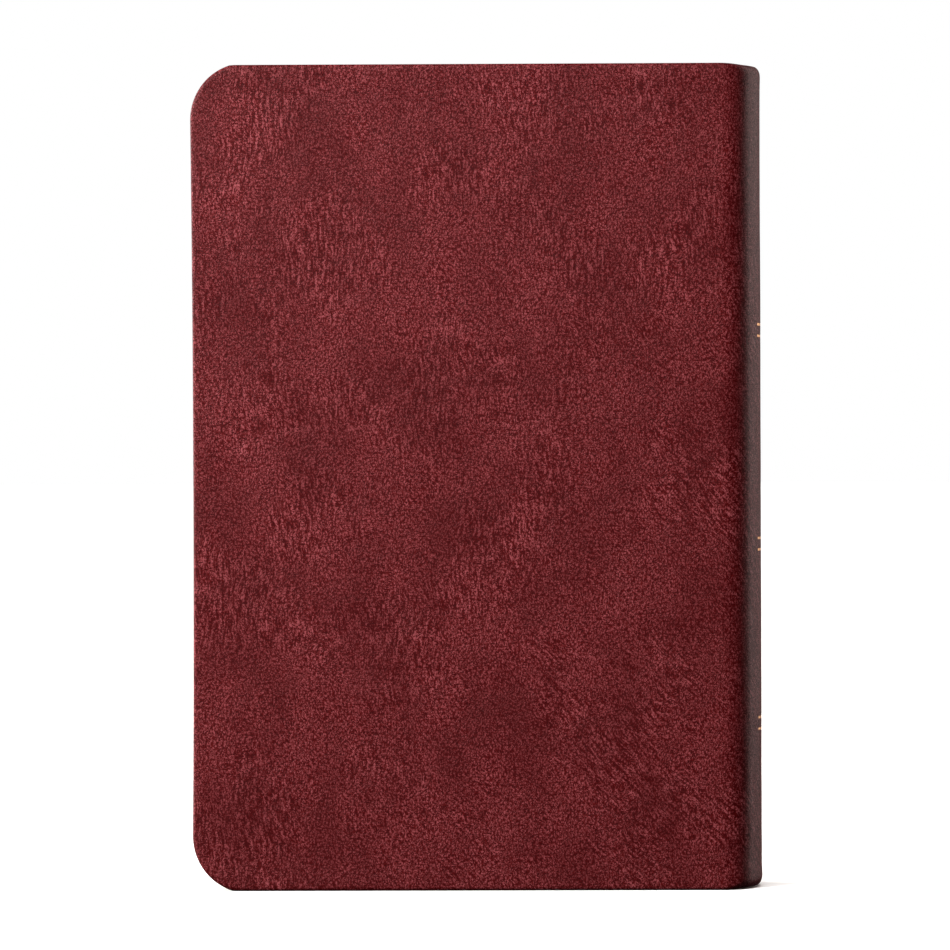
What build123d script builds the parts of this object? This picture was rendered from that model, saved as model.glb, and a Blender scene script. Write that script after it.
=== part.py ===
"""A small prayer book in a flexible leather cover, standing upright on its tail.

Frame: X runs across the book with the spine at +X, Y runs through its thickness with the back cover
at -Y, and Z runs up from the tail to the head. The origin is the middle of the footprint, so the
book stands on z = 0. All sizes are in millimetres.

The book comes apart as it is bound: two covers (leather turned in over a board, then a pastedown),
a leather spine with its inlay and gold rules, and a text block of sewn signatures whose backs carry
the mull, the lining and the two headbands. The text block is parted in its middle opening, where a
few loose leaves stand between the halves.
"""

from build123d import *
from math import asin, cos, degrees, isclose, radians, sin, sqrt
import os

os.makedirs("parts", exist_ok=True)

# ---- the closed book ----
book_width = 114.3
book_height = 165.1
book_thickness = 25.0

# ---- outline of the rounded spine, seen along Z ----
shoulder_r = 7.0
spine_half_angle = 30.0

# ---- cover corners: the cut meets the fore edge smoothly and the head and tail at a slight angle ----
corner_r = 11.6
corner_rise = 11.1

# ---- cover layers ----
leather_t = 0.9
turn_in_t = 0.5
turn_in_w = 12.0
board_t = 1.2
paper_t = 0.15
outer_edge_r = 0.8
inner_edge_r = 0.4
joint_w = 1.5
pastedown_margin = 2.5
seam_gap = 0.05

# ---- text block ----
square = 3.0
endpaper_gap = 0.1
flyleaf_hinge_in = 1.8
signatures_per_half = 8
fold_relief = 0.02
centre_leaf_count = 5
centre_leaf_gap = 0.05

# ---- layers on the back of the text block, from the leather inwards ----
layer_gap = 0.05
inlay_t = 0.35
inlay_half_angle = 27.0
lining_t = 0.2
lining_half_angle = 32.0
mull_t = 0.25
mull_half_angle = 35.0
mull_from_end = 12.0
thread_d = 0.4
thread_stations = 6
thread_from_end = 10.0
thread_from_opening = 0.6

# ---- headbands ----
bead_d = 1.5
band_skirt_h = 6.0
band_half_angle = 34.0

# ---- gold rules on the spine: three pairs of thin lines ----
rule_pair_heights = (33.0, 69.0, 111.9)
rule_pair_spacing = 2.3
rule_h = 0.5
rule_depth = 0.1
foil_t = 0.08
rule_half_angle = 17.0

# ---- worked out from the sizes above ----
half_t = book_thickness / 2
fore_x = -book_width / 2
spine_sin = sin(radians(spine_half_angle))
spine_cos = cos(radians(spine_half_angle))
spine_r = (half_t - shoulder_r * (1 - spine_sin)) / spine_sin
spine_cx = book_width / 2 - spine_r
flat_end_x = spine_cx + (spine_r - shoulder_r) * spine_cos
shoulder_cy = half_t - shoulder_r
spine_axis = Axis((spine_cx, 0, 0), (0, 0, 1))

seam_x = flat_end_x - seam_gap
board_end_x = flat_end_x - joint_w
board_outer_y = half_t - leather_t
board_inner_y = board_outer_y - board_t
turn_in_y = board_inner_y - turn_in_t
pastedown_y = turn_in_y - paper_t
flyleaf_outer_y = pastedown_y - endpaper_gap
flyleaf_inner_y = flyleaf_outer_y - paper_t
block_half_t = flyleaf_inner_y - endpaper_gap

leather_inner_r = spine_r - leather_t
turn_in_inner_r = leather_inner_r - turn_in_t
inlay_outer_r = leather_inner_r - layer_gap
inlay_inner_r = inlay_outer_r - inlay_t
lining_outer_r = min(inlay_inner_r, turn_in_inner_r) - layer_gap
lining_inner_r = lining_outer_r - lining_t
mull_outer_r = lining_inner_r - layer_gap
mull_inner_r = mull_outer_r - mull_t
thread_r = mull_inner_r - layer_gap - thread_d / 2
block_r = thread_r - thread_d / 2 - layer_gap

opening_half_gap = (centre_leaf_count * paper_t + (centre_leaf_count + 1) * centre_leaf_gap) / 2
signature_t = (block_half_t - opening_half_gap) / signatures_per_half
fold_r = signature_t / 2
leaf_low_z = square
leaf_high_z = book_height - square
leaf_corner_r = corner_r - square
leaf_corner_rise = corner_rise - square
back_cx_r = block_r - fold_r
outer_fold_x = spine_cx + sqrt(back_cx_r**2 - block_half_t**2)
leaf_w = outer_fold_x - (fore_x + square)
fore_arc_cx = spine_cx - leaf_w

flyleaf_hinge_x = outer_fold_x - flyleaf_hinge_in


def fore_edge_x(y):
    """The x of the hollow fore edge at thickness y: the rounded back, moved by a leaf's width."""
    return fore_arc_cx + sqrt(back_cx_r**2 - y**2)


def leaf_outline(fore, end, low, high, radius, rise):
    """A face square at its spine end, with the two fore-edge corners cut to an arc."""
    cut = degrees(asin(rise / radius))
    with BuildLine() as outline:
        head = CenterArc((fore + radius, high - rise), radius, 180, -cut)
        tail = CenterArc((fore + radius, low + rise), radius, 180, cut)
        Line(head @ 0, tail @ 0)
        Polyline(head @ 1, (end, high), (end, low), tail @ 1)
    make_face(outline.edges())


def cover_outline(inset, end):
    """The cover's outline moved in from its three free edges, ending at x = end."""
    leaf_outline(
        fore_x + inset, end, inset, book_height - inset, corner_r - inset, corner_rise - inset
    )


def window(inset, end):
    """A plain oblong moved in from the cover's three free edges, ending at x = end."""
    with Locations(((fore_x + inset + end) / 2, book_height / 2)):
        Rectangle(end - fore_x - inset, book_height - 2 * inset)


def leaf_plane(y):
    """The plane of a leaf at distance y towards the back cover, facing the back cover."""
    return Plane.XZ.offset(y)


def band(inner_r, outer_r, half_angle):
    """A face between two arcs about the spine's centre line."""
    with BuildLine() as outline:
        outer = CenterArc((spine_cx, 0), outer_r, -half_angle, 2 * half_angle)
        inner = CenterArc((spine_cx, 0), inner_r, -half_angle, 2 * half_angle)
        Line(outer @ 0, inner @ 0)
        Line(outer @ 1, inner @ 1)
    make_face(outline.edges())


def spine_wall(outer_inset, inner_inset):
    """The face of the spine leather between two depths: shoulder, spine and shoulder."""
    ends = []
    with BuildLine() as outline:
        for inset in (outer_inset, inner_inset):
            back = CenterArc(
                (flat_end_x, -shoulder_cy), shoulder_r - inset, -90, 90 - spine_half_angle
            )
            CenterArc((spine_cx, 0), spine_r - inset, -spine_half_angle, 2 * spine_half_angle)
            front = CenterArc(
                (flat_end_x, shoulder_cy), shoulder_r - inset, spine_half_angle, 90 - spine_half_angle
            )
            ends.append((back @ 0, front @ 1))
        Line(ends[0][0], ends[1][0])
        Line(ends[0][1], ends[1][1])
    make_face(outline.edges())


def radial_plane(angle, z):
    """A plane through the spine's centre line at the given angle and height."""
    turn = radians(angle)
    return Plane(
        origin=(spine_cx, 0, z), x_dir=(cos(turn), sin(turn), 0), z_dir=(sin(turn), -cos(turn), 0)
    )


def save(piece, name):
    """Labels a finished piece and writes it."""
    piece.part.label = name
    export_step(piece.part, f"parts/{name}.step")


def save_pair(piece, name):
    """Writes a piece of the back cover, and its mirror image for the front cover."""
    save(piece, f"back_{name}")
    with BuildPart() as other:
        mirror(piece.part, about=Plane.XZ)
    save(other, f"front_{name}")


# ---- cover leather: an outer sheet, turned in over the board at the fore edge, head and tail ----
with BuildPart() as cover_leather:
    with BuildSketch(leaf_plane(turn_in_y)):
        cover_outline(0, seam_x)
    extrude(amount=half_t - turn_in_y)
    free_edges = cover_leather.faces().sort_by(Axis.Y)[0].edges().sort_by(Axis.X)[:-1]
    fillet(free_edges, radius=outer_edge_r)
    lip_edges = cover_leather.faces().sort_by(Axis.Y)[-1].edges().sort_by(Axis.X)[:-1]
    fillet(lip_edges, radius=inner_edge_r)
    with BuildSketch(leaf_plane(board_inner_y)):
        cover_outline(leather_t, seam_x)
    extrude(amount=board_t, mode=Mode.SUBTRACT)
    with BuildSketch(leaf_plane(turn_in_y)):
        window(turn_in_w, seam_x)
    extrude(amount=turn_in_t, mode=Mode.SUBTRACT)
    with BuildSketch(leaf_plane(turn_in_y)):
        with Locations(((board_end_x + seam_x) / 2, book_height / 2)):
            Rectangle(seam_x - board_end_x, book_height)
    extrude(amount=board_outer_y - turn_in_y, mode=Mode.SUBTRACT)
save_pair(cover_leather, "cover_leather")

# ---- board: the stiff sheet inside each cover ----
with BuildPart() as board:
    with BuildSketch(leaf_plane(board_inner_y)):
        cover_outline(leather_t, board_end_x)
    extrude(amount=board_t)
save_pair(board, "board")

# ---- pastedown: paper glued over the turn-ins, stepping down onto the bare board inside them ----
with BuildPart() as pastedown:
    with BuildSketch(leaf_plane(pastedown_y)):
        cover_outline(pastedown_margin, board_end_x)
    extrude(amount=paper_t)
    with BuildSketch(leaf_plane(pastedown_y)):
        window(turn_in_w, board_end_x)
    extrude(amount=board_inner_y - pastedown_y)
    with BuildSketch(leaf_plane(pastedown_y)):
        window(turn_in_w + paper_t, board_end_x)
    extrude(amount=board_inner_y - paper_t - pastedown_y, mode=Mode.SUBTRACT)
save_pair(pastedown, "pastedown")

# ---- flyleaf: the free half of each endpaper ----
with BuildPart() as flyleaf:
    with BuildSketch(leaf_plane(flyleaf_inner_y)):
        leaf_outline(
            fore_edge_x(block_half_t),
            flyleaf_hinge_x,
            leaf_low_z,
            leaf_high_z,
            leaf_corner_r,
            leaf_corner_rise,
        )
    extrude(amount=paper_t)
save_pair(flyleaf, "flyleaf")

# ---- signatures: folded sections, numbered from the front cover to the back cover ----
for place in range(signatures_per_half):
    near_y = opening_half_gap + place * signature_t
    mid_y = near_y + fold_r
    rear_number = signatures_per_half + 1 + place
    front_number = signatures_per_half - place
    for side, number in ((1, rear_number), (-1, front_number)):
        with BuildPart() as signature:
            with BuildSketch(leaf_plane(side * mid_y)):
                leaf_outline(
                    fore_edge_x(near_y + signature_t),
                    spine_cx + sqrt(back_cx_r**2 - mid_y**2) + fold_r,
                    leaf_low_z,
                    leaf_high_z,
                    leaf_corner_r,
                    leaf_corner_rise,
                )
            extrude(amount=fold_r, both=True)
            fold_edges = signature.edges().filter_by(Axis.Z).group_by(Axis.X)[-1]
            fillet(fold_edges, radius=fold_r - fold_relief)
            with BuildSketch(Plane.XY):
                with Locations((fore_arc_cx, 0)):
                    Circle(back_cx_r)
            extrude(amount=book_height, mode=Mode.SUBTRACT)
        save(signature, f"signature_{number:02d}")

# ---- centre leaves: single leaves standing in the middle opening ----
for place in range(centre_leaf_count):
    far_y = opening_half_gap - centre_leaf_gap - place * (paper_t + centre_leaf_gap)
    with BuildPart() as centre_leaf:
        with BuildSketch(leaf_plane(far_y - paper_t)):
            leaf_outline(
                fore_edge_x(0),
                spine_cx + block_r,
                leaf_low_z,
                leaf_high_z,
                leaf_corner_r,
                leaf_corner_rise,
            )
        extrude(amount=paper_t)
    save(centre_leaf, f"centre_leaf_{place + 1}")

# ---- sewing thread: one stitch line per station over the folds of each half ----
thread_start = degrees(asin(thread_from_opening / thread_r))
thread_end = degrees(asin((block_half_t - fold_r) / thread_r))
station_pitch = (leaf_high_z - leaf_low_z - 2 * thread_from_end) / (thread_stations - 1)
for half, side in (("rear", -1), ("front", 1)):
    with BuildPart() as sewing_thread:
        for station in range(thread_stations):
            station_z = leaf_low_z + thread_from_end + station * station_pitch
            with BuildSketch(radial_plane(side * thread_start, station_z)):
                with Locations((thread_r, 0)):
                    Circle(thread_d / 2)
            revolve(axis=spine_axis, revolution_arc=side * (thread_end - thread_start))
    save(sewing_thread, f"sewing_thread_{half}")

# ---- mull: open cloth glued over the sewing ----
with BuildPart() as mull:
    with BuildSketch(Plane.XY.offset(leaf_low_z + mull_from_end)):
        band(mull_inner_r, mull_outer_r, mull_half_angle)
    extrude(amount=leaf_high_z - leaf_low_z - 2 * mull_from_end)
save(mull, "mull")

# ---- spine lining: paper over the mull, the full height of the leaves ----
with BuildPart() as spine_lining:
    with BuildSketch(Plane.XY.offset(leaf_low_z)):
        band(lining_inner_r, lining_outer_r, lining_half_angle)
    extrude(amount=leaf_high_z - leaf_low_z)
save(spine_lining, "spine_lining")

# ---- spine inlay: thin card on the inside of the spine leather, between its turn-ins ----
with BuildPart() as spine_inlay:
    with BuildSketch(Plane.XY.offset(turn_in_w + layer_gap)):
        band(inlay_inner_r, inlay_outer_r, inlay_half_angle)
    extrude(amount=book_height - 2 * (turn_in_w + layer_gap))
save(spine_inlay, "spine_inlay")

# ---- headbands: a sewn bead on the back corner of the leaves, with a skirt glued down the back ----
for name, end_z, up in (("headband", leaf_high_z, 1), ("tailband", leaf_low_z, -1)):
    with BuildPart() as headband:
        with BuildSketch(radial_plane(-band_half_angle, end_z + up * bead_d / 2)):
            with Locations((block_r, 0)):
                Circle(bead_d / 2)
        revolve(axis=spine_axis, revolution_arc=2 * band_half_angle)
        with BuildSketch(Plane.XY.offset(end_z + up * bead_d / 2)):
            band(block_r + layer_gap, block_r + layer_gap + thread_d, band_half_angle)
        extrude(amount=-up * (band_skirt_h + bead_d / 2))
    save(headband, name)

# ---- spine leather: shoulders and spine in one sheet, turned in at head and tail ----
rule_heights = [
    pair + offset for pair in rule_pair_heights for offset in (-rule_pair_spacing / 2, rule_pair_spacing / 2)
]
with BuildPart() as spine_leather:
    with BuildSketch(Plane.XY):
        spine_wall(0, leather_t)
    extrude(amount=book_height)
    rim = (
        spine_leather.edges()
        .filter_by(GeomType.CIRCLE)
        .filter_by(lambda edge: isclose(edge.radius, spine_r) or isclose(edge.radius, shoulder_r))
    )
    fillet(rim, radius=outer_edge_r)
    for end_z in (0, book_height - turn_in_w):
        with BuildSketch(Plane.XY.offset(end_z)):
            band(turn_in_inner_r, leather_inner_r, inlay_half_angle)
        extrude(amount=turn_in_w)
    for rule_z in rule_heights:
        with BuildSketch(Plane.XY.offset(rule_z - rule_h / 2)):
            band(spine_r - rule_depth, spine_r + rule_depth, rule_half_angle)
        extrude(amount=rule_h, mode=Mode.SUBTRACT)
save(spine_leather, "spine_leather")

# ---- spine rules: gold foil pressed into the spine, six thin lines in pairs ----
with BuildPart() as spine_rules:
    for rule_z in rule_heights:
        with BuildSketch(Plane.XY.offset(rule_z - rule_h / 2)):
            band(spine_r - rule_depth, spine_r - rule_depth + foil_t, rule_half_angle)
        extrude(amount=rule_h)
save(spine_rules, "spine_rules")
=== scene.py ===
"""Looks of a small prayer book in a burgundy leather cover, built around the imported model.

The book stands on its tail on a pale floor with its back cover to the camera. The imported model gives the
places of all parts. This script cuts the leather and turns it in over the boards, folds the signatures,
sews the headbands and dresses every part in the finish that it has on a bound book.

Lengths are in metres. Sizes that a binder gives in millimetres are written with MM.
"""

import logging
import math
import random
from dataclasses import dataclass, field
from enum import Enum
from typing import Sequence

import bmesh
import bpy
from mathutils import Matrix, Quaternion, Vector, noise

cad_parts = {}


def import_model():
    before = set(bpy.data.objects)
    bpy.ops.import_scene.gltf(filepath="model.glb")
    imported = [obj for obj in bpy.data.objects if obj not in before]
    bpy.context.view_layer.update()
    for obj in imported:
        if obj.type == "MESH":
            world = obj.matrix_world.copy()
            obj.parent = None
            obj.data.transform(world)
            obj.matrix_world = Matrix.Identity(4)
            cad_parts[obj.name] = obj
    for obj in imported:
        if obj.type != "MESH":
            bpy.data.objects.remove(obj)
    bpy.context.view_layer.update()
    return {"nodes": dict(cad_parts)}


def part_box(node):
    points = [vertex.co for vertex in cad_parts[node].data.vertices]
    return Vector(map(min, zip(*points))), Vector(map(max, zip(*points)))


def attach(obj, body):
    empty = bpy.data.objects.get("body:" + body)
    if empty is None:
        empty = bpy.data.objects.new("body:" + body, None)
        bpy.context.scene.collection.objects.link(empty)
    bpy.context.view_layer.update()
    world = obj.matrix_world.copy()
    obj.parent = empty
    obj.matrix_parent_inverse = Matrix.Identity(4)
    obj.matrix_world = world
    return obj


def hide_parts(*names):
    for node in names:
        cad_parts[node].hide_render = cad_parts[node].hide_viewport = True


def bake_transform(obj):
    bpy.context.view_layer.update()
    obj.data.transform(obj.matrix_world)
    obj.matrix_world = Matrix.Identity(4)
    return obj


MM = 0.001
UV_NAME = "Place"
TINY = 0.001 * MM  # slack for comparing distances that should be equal

log = logging.getLogger("prayer_book")

Place = tuple[float, float]
Point = tuple[float, float, float]
Socket = bpy.types.NodeSocket


class Side(Enum):
    """The two halves of the book, by the sign of their y."""

    BACK = -1
    FRONT = 1

    @property
    def word(self) -> str:
        """The word that the names of this side's nodes start with."""
        return self.name.lower()

    @property
    def block(self) -> str:
        """The body of this side's half of the leaves."""
        return "rear_block" if self is Side.BACK else "front_block"

    @property
    def cover(self) -> str:
        """The body of this side's cover."""
        return f"{self.word}_cover"


class End(Enum):
    """The two ends of the book, by the sign of the way out of them."""

    TAIL = -1
    HEAD = 1


# ---- small tools ----


def linear(code: str) -> tuple[float, float, float, float]:
    """Turns an sRGB hex colour into linear light.

    Args:
        code: six hex digits after a #.

    Returns:
        Red, green, blue and an alpha of 1.
    """
    parts = [int(code[i : i + 2], 16) / 255 for i in (1, 3, 5)]
    red, green, blue = [c / 12.92 if c <= 0.04045 else ((c + 0.055) / 1.055) ** 2.4 for c in parts]
    return red, green, blue, 1.0


def ease(value: float, low: float, high: float) -> float:
    """A smooth step from 0 at low to 1 at high.

    Args:
        value: where the step is read.
        low: where it starts.
        high: where it ends; may be below low.

    Returns:
        A share from 0 to 1.
    """
    share = min(1.0, max(0.0, (value - low) / (high - low)))
    return share * share * (3 - 2 * share)


def spread(first: float, last: float, pitch: float) -> list[float]:
    """Evenly spaced values from first to last, at most pitch apart.

    Args:
        first: the first value.
        last: the last value.
        pitch: the widest spacing.

    Returns:
        The values, both ends among them.
    """
    count = max(1, math.ceil(abs(last - first) / pitch))
    return [first + (last - first) * i / count for i in range(count + 1)]


def add(tree: bpy.types.NodeTree, kind: str, links: dict | None = None, **settings) -> bpy.types.Node:
    """Adds one node with its settings and links.

    Args:
        tree: the node tree that gets the node.
        kind: the node's type, without its ShaderNode prefix.
        links: input name or number to a socket to link from, or to a plain value.
        **settings: properties of the node itself.

    Returns:
        The new node.
    """
    node = tree.nodes.new(f"ShaderNode{kind}")
    for name, value in settings.items():
        setattr(node, name, value)
    for name, value in (links or {}).items():
        if isinstance(value, bpy.types.NodeSocket):
            tree.links.new(value, node.inputs[name])
        else:
            node.inputs[name].default_value = value
    return node


class Recipe:
    """A material in the making: one surface shader and the nodes that feed it."""

    def __init__(self, name: str, **plain: float) -> None:
        """Starts the material.

        Args:
            name: the material's name.
            **plain: the shader's uniform values, with underscores for the spaces in their names.
        """
        self.material = bpy.data.materials.new(name)
        self.material.use_nodes = True
        self.tree = self.material.node_tree
        self.tree.nodes.clear()
        values = {key.replace("_", " "): value for key, value in plain.items()}
        self.shader = add(self.tree, "BsdfPrincipled", values)
        add(self.tree, "OutputMaterial", {"Surface": self.shader.outputs[0]})

    def place(self, solid: bool = False) -> Socket:
        """The place on the flat sheet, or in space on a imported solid, which has no such sheet."""
        if solid:
            return add(self.tree, "TexCoord").outputs["Object"]
        return add(self.tree, "UVMap", uv_map=UV_NAME).outputs[0]

    def noise(
        self, place: Socket, size: float, detail: float, flat: bool = False, **more: float
    ) -> Socket:
        """Adds noise.

        Args:
            place: the place at which it is read.
            size: size of its features.
            detail: how many finer layers lie on top.
            flat: whether it varies along the sheet only.
            **more: its other inputs.

        Returns:
            Its value, about 0.5 on average.
        """
        settings = {"noise_dimensions": "2D"} if flat else {}
        links = {"Vector": place, "Scale": 1 / size, "Detail": detail, **more}
        return add(self.tree, "TexNoise", links, **settings).outputs[0]

    def mapping(self, place: Socket, **change: Point) -> Socket:
        """Stretches (Scale) or turns (Rotation) a place."""
        return add(self.tree, "Mapping", {"Vector": place, **change}).outputs[0]

    def calc(self, operation: str, *values: Socket | float) -> Socket:
        """Adds one step of arithmetic."""
        return add(self.tree, "Math", dict(enumerate(values)), operation=operation).outputs[0]

    def ramp(
        self, value: Socket, low: float, high: float, start: float = 0.0, end: float = 1.0
    ) -> Socket:
        """Turns the range from low to high into the range from start to end, and cuts off the rest."""
        links = {"Value": value, "From Min": low, "From Max": high, "To Min": start, "To Max": end}
        return add(self.tree, "MapRange", links).outputs[0]

    def mix(self, share: Socket, one: Socket | str, other: Socket | str) -> Socket:
        """Mixes two colours, each a socket or a hex colour."""
        one, other = [linear(c) if isinstance(c, str) else c for c in (one, other)]
        links = {"Factor": share, "A": one, "B": other}
        return add(self.tree, "Mix", links, data_type="RGBA").outputs["Result"]

    def surface(
        self, tone: Socket, gloss: Socket, height: Socket, depth: float, strength: float = 1.0
    ) -> bpy.types.Material:
        """Links everything to the surface shader.

        Args:
            tone: its colour.
            gloss: its roughness.
            height: its relief, as a share of the depth.
            depth: how deep the relief is.
            strength: how much of the relief is seen.

        Returns:
            The finished material.
        """
        links = {"Height": height, "Distance": depth, "Strength": strength}
        bump = add(self.tree, "Bump", links).outputs[0]
        for socket, name in ((tone, "Base Color"), (gloss, "Roughness"), (bump, "Normal")):
            self.tree.links.new(socket, self.shader.inputs[name])
        return self.material


@dataclass
class Shell:
    """A mesh in the making, whose points know their place on the flat material.

    Attributes:
        points: the points.
        places: each point's place on the flat material, in metres.
        faces: corners, finish number and, where they differ from the points' own, the corners' places.
        weld: points closer than this become one.
        shortest: edges shorter than this go.
    """

    points: list[Point] = field(default_factory=list)
    places: list[Place] = field(default_factory=list)
    faces: list[tuple[Sequence[int], int, Sequence[Place] | None]] = field(default_factory=list)
    weld: float = 0.0005 * MM
    shortest: float = 0.0002 * MM

    def point(self, xyz: Point, place: Place) -> int:
        """Adds a point and gives its number."""
        self.points.append(xyz)
        self.places.append(place)
        return len(self.points) - 1

    def face(
        self, corners: Sequence[int], finish_number: int = 0, places: Sequence[Place] | None = None
    ) -> None:
        """Adds a face.

        Args:
            corners: numbers of its points, in order.
            finish_number: which of the piece's finishes it has.
            places: places of the corners, where they differ from the points' own.
        """
        self.faces.append((tuple(corners), finish_number, places))

    def bridge(
        self, one: Sequence[int], other: Sequence[int], closed: bool = False, finish_number: int = 0
    ) -> None:
        """Adds the quads between two rows of points of the same length.

        Args:
            one: the first row.
            other: the second row.
            closed: whether the rows are rings.
            finish_number: which of the piece's finishes the quads have.
        """
        count = len(one)
        for i in range(count if closed else count - 1):
            j = (i + 1) % count
            self.face((one[i], one[j], other[j], other[i]), finish_number)

    def loft(self, rows: Sequence[Sequence[int]]) -> None:
        """Adds an open surface over rows of points."""
        for one, other in zip(rows, rows[1:]):
            self.bridge(one, other)

    def tube(self, rings: Sequence[Sequence[int]]) -> None:
        """Adds a closed body over rings of points, with a face at each end."""
        for one, other in zip(rings, rings[1:]):
            self.bridge(one, other, closed=True)
        self.face(rings[0])
        self.face(rings[-1])

    def piece(
        self, name: str, materials: Sequence[bpy.types.Material], crease: float = 40.0
    ) -> bpy.types.Object:
        """Makes the object.

        Args:
            name: the object's name.
            materials: its finishes, in the order of their numbers.
            crease: edges that turn by more degrees than this stay sharp.

        Returns:
            The object, in place.
        """
        mesh = bpy.data.meshes.new(name)
        mesh.from_pydata(self.points, [], [corners for corners, _, _ in self.faces])
        for material in materials:
            mesh.materials.append(material)
        mesh.polygons.foreach_set("material_index", [number for _, number, _ in self.faces])
        layer = mesh.uv_layers.new(name=UV_NAME)
        values: list[float] = []
        for corners, _, places in self.faces:
            for place in places or [self.places[corner] for corner in corners]:
                values.extend(place)
        layer.data.foreach_set("uv", values)
        shape = bmesh.new()
        shape.from_mesh(mesh)
        bmesh.ops.remove_doubles(shape, verts=shape.verts, dist=self.weld)
        bmesh.ops.dissolve_degenerate(shape, dist=self.shortest, edges=shape.edges)
        bmesh.ops.recalc_face_normals(shape, faces=shape.faces)
        shape.to_mesh(mesh)
        shape.free()
        mesh.shade_smooth()
        mesh.set_sharp_from_angle(angle=math.radians(crease))
        made = bpy.data.objects.new(name, mesh)
        bpy.context.scene.collection.objects.link(made)
        log.info("%s: %d faces", name, len(mesh.polygons))
        return made


# ---- finishes ----


@dataclass(frozen=True)
class CalfLeather:
    """Bookbinding leather, drum dyed burgundy, pebble grained and plated, then creased by handling.

    To the eye: small irregular pebbles with painted shade between them and a painted pink highlight on
    their tops, drawn out into long creases in places, under a soft satin haze, with clouds of darker dye.

    Attributes:
        painted_pit_shade: painted shade in the hollows between the pebbles.
        body: colour of the dyed hide.
        painted_highlight: painted highlight on the pebbles' tops, in place of the light that their facets
            catch.
        cloud_shade: colour of the hide where the dye clouds.
        pebble: width of a pebble.
        worm: half the length of a fold between pebbles.
        pore: width of a hair pore.
        crease: width of a long crease.
        cloud: half the width of a cloud of dye.
        patch: half the width of a patch of creases.
        wander: half the distance over which the grain's lines change their way.
        drift: how far they do so.
        relief: depth of the grain.
        pore_share: depth of the pores as a share of the grain's.
        crease_turn: turn of the slanting creases.
        crease_squeeze: width of a crease as a share of its length.
    """

    painted_pit_shade: str = "#430003"
    body: str = "#64080A"
    painted_highlight: str = "#B65A5F"
    cloud_shade: str = "#580406"
    pebble: float = 0.44 * MM
    worm: float = 0.34 * MM
    pore: float = 0.12 * MM
    crease: float = 0.55 * MM
    cloud: float = 13.0 * MM
    patch: float = 23.0 * MM
    wander: float = 12.0 * MM
    drift: float = 1.6 * MM
    relief: float = 0.06 * MM
    pore_share: float = 0.12
    crease_turn: float = math.radians(-42)
    crease_squeeze: float = 0.17
    roughness: float = 0.41
    shine: float = 0.14
    ior: float = 1.5

    def make(self) -> bpy.types.Material:
        """Builds the material."""
        recipe = Recipe(
            "calf_leather_burgundy_grained", IOR=self.ior, Metallic=0.0, Specular_IOR_Level=self.shine
        )
        place = recipe.place()
        flow = self.flow(recipe, place)
        grain = self.grain(recipe, place, flow)
        pores = recipe.noise(flow, self.pore, 1.0, flat=True)
        tall = recipe.mapping(flow, Scale=(1.0, 0.6, 1.0))
        clouds = recipe.noise(tall, self.cloud, 4.0, flat=True, Roughness=0.6)
        height = recipe.calc("MULTIPLY_ADD", pores, self.pore_share, grain)
        # Colour: painted shade between the pebbles, and a painted highlight on their tops that is weaker
        # where the dye clouds.
        body = recipe.mix(recipe.ramp(clouds, 0.36, 0.62), self.cloud_shade, self.body)
        # Painted shade: the hollows between the pebbles get a darker colour.
        tone = recipe.mix(recipe.ramp(grain, 0.51, 0.38), body, self.painted_pit_shade)
        # Painted highlight: pink on the pebbles' tops stands in for the light that their facets catch.
        painted_highlight_share = recipe.ramp(clouds, 0.32, 0.66, 0.52)
        high = recipe.calc("MULTIPLY", recipe.ramp(grain, 0.53, 0.64), painted_highlight_share)
        tone = recipe.mix(high, tone, self.painted_highlight)
        # The pebbles' tops are plated smoother than the ground between them.
        gloss = recipe.ramp(grain, 0.35, 0.65, self.roughness + 0.12, self.roughness - 0.04)
        return recipe.surface(tone, gloss, height, self.relief)

    def flow(self, recipe: Recipe, place: Socket) -> Socket:
        """Warps a place, so that the grain's lines wander as they do on a hide."""
        tree = recipe.tree
        bend = recipe.noise(place, self.wander, 2.0, flat=True).node.outputs["Color"]
        bend = add(tree, "VectorMath", {0: bend, 1: (0.5, 0.5, 0.5)}, operation="SUBTRACT").outputs[0]
        bend = add(tree, "VectorMath", {0: bend, "Scale": 2 * self.drift}, operation="SCALE").outputs[0]
        return add(tree, "VectorMath", {0: place, 1: bend}, operation="ADD").outputs[0]

    def grain(self, recipe: Recipe, place: Socket, flow: Socket) -> Socket:
        """Adds the grain: pebbles everywhere, drawn out into creases in patches.

        The creases run up the hide, and slantwise towards the tail next to the spine.

        Args:
            recipe: the material in the making.
            place: the place on the hide.
            flow: the same place, warped.

        Returns:
            The height of the grain, about 0.5 on average.
        """
        tree = recipe.tree
        upright = recipe.mapping(flow, Scale=(1.0, 0.75, 1.0))
        cells = add(
            tree, "TexVoronoi", {"Vector": upright, "Scale": 1 / self.pebble},
            feature="F1", voronoi_dimensions="2D",
        ).outputs["Distance"]
        worms = recipe.noise(upright, self.worm, 2.0, flat=True, Roughness=0.6, Distortion=0.25)
        # Thin high lines where the noise crosses its middle, on top of the shallow cells.
        folds = recipe.calc("ABSOLUTE", recipe.calc("SUBTRACT", worms, 0.5))
        pebbles = recipe.calc("MULTIPLY_ADD", cells, -0.2, 0.71)
        pebbles = recipe.calc("MULTIPLY_ADD", folds, -1.8, pebbles)
        drawn = []
        for turn in (0.0, self.crease_turn):
            turned = recipe.mapping(flow, Rotation=(0.0, 0.0, turn))
            along = recipe.mapping(turned, Scale=(1.0, self.crease_squeeze, 1.0))
            drawn.append(recipe.noise(along, self.crease, 2.0, flat=True, Roughness=0.6, Distortion=0.2))
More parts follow.
